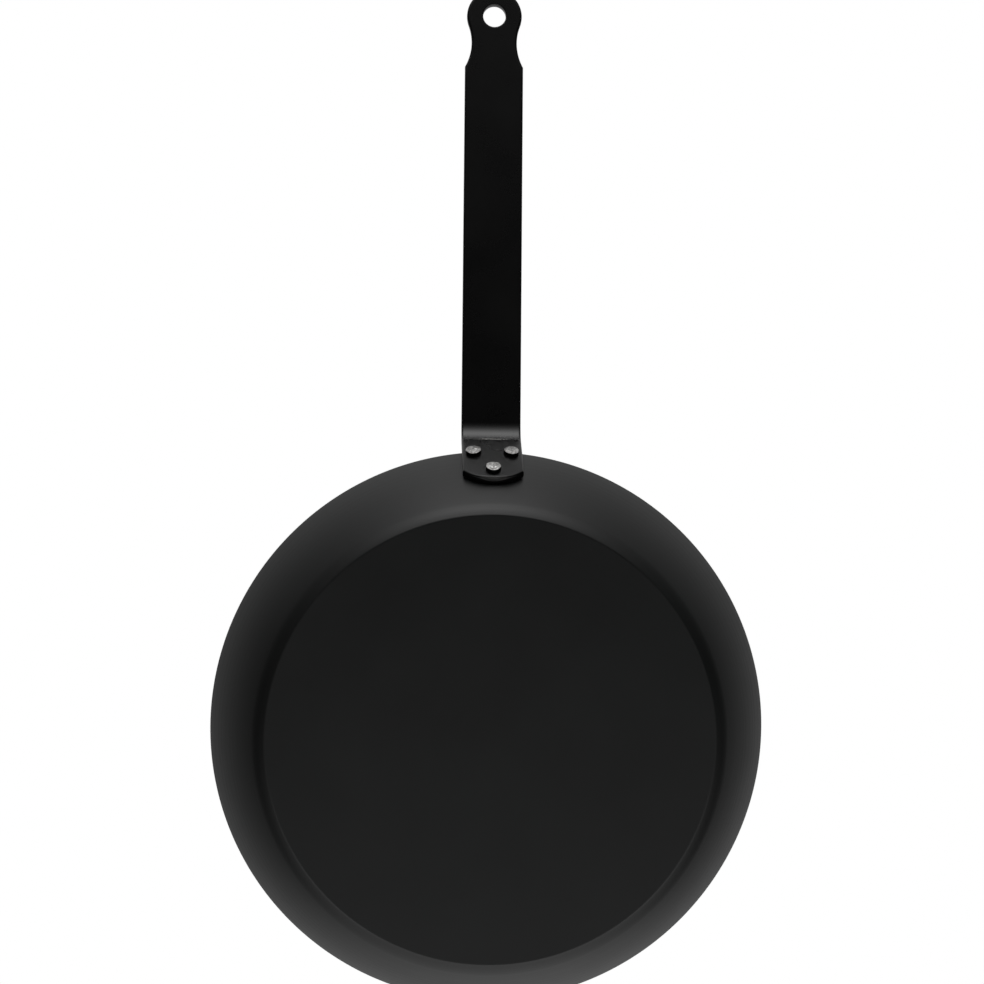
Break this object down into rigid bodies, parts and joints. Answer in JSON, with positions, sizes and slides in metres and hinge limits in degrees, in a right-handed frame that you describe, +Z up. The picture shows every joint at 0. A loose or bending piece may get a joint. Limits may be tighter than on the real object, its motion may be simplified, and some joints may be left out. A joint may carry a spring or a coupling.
{
  "type": "frying pan",
  "caption": "Round flared frying pan pressed from dark sheet steel, with a long flat strap handle riveted to its wall and a hanging eye at the end.",
  "frame": {"origin": "centre of the base's underside, which rests on the hob", "axes": "+Z up out of the pan's mouth, +Y from the pan's axis along the handle, +X to the right with the handle pointing away"},
  "size_m": [0.28, 0.5202, 0.0828],
  "materials": {
    "pan_steel": "dark satin coat on pressed carbon steel sheet",
    "handle_steel": "black satin coat on steel strap",
    "rivet_steel": "bare steel, heads formed by hammering"
  },
  "bodies": {
    "root": {"pan_body": "pan_steel", "handle": "handle_steel", "rivet_left": "rivet_steel", "rivet_right": "rivet_steel", "rivet_lower": "rivet_steel"}
  },
  "joints": []
}
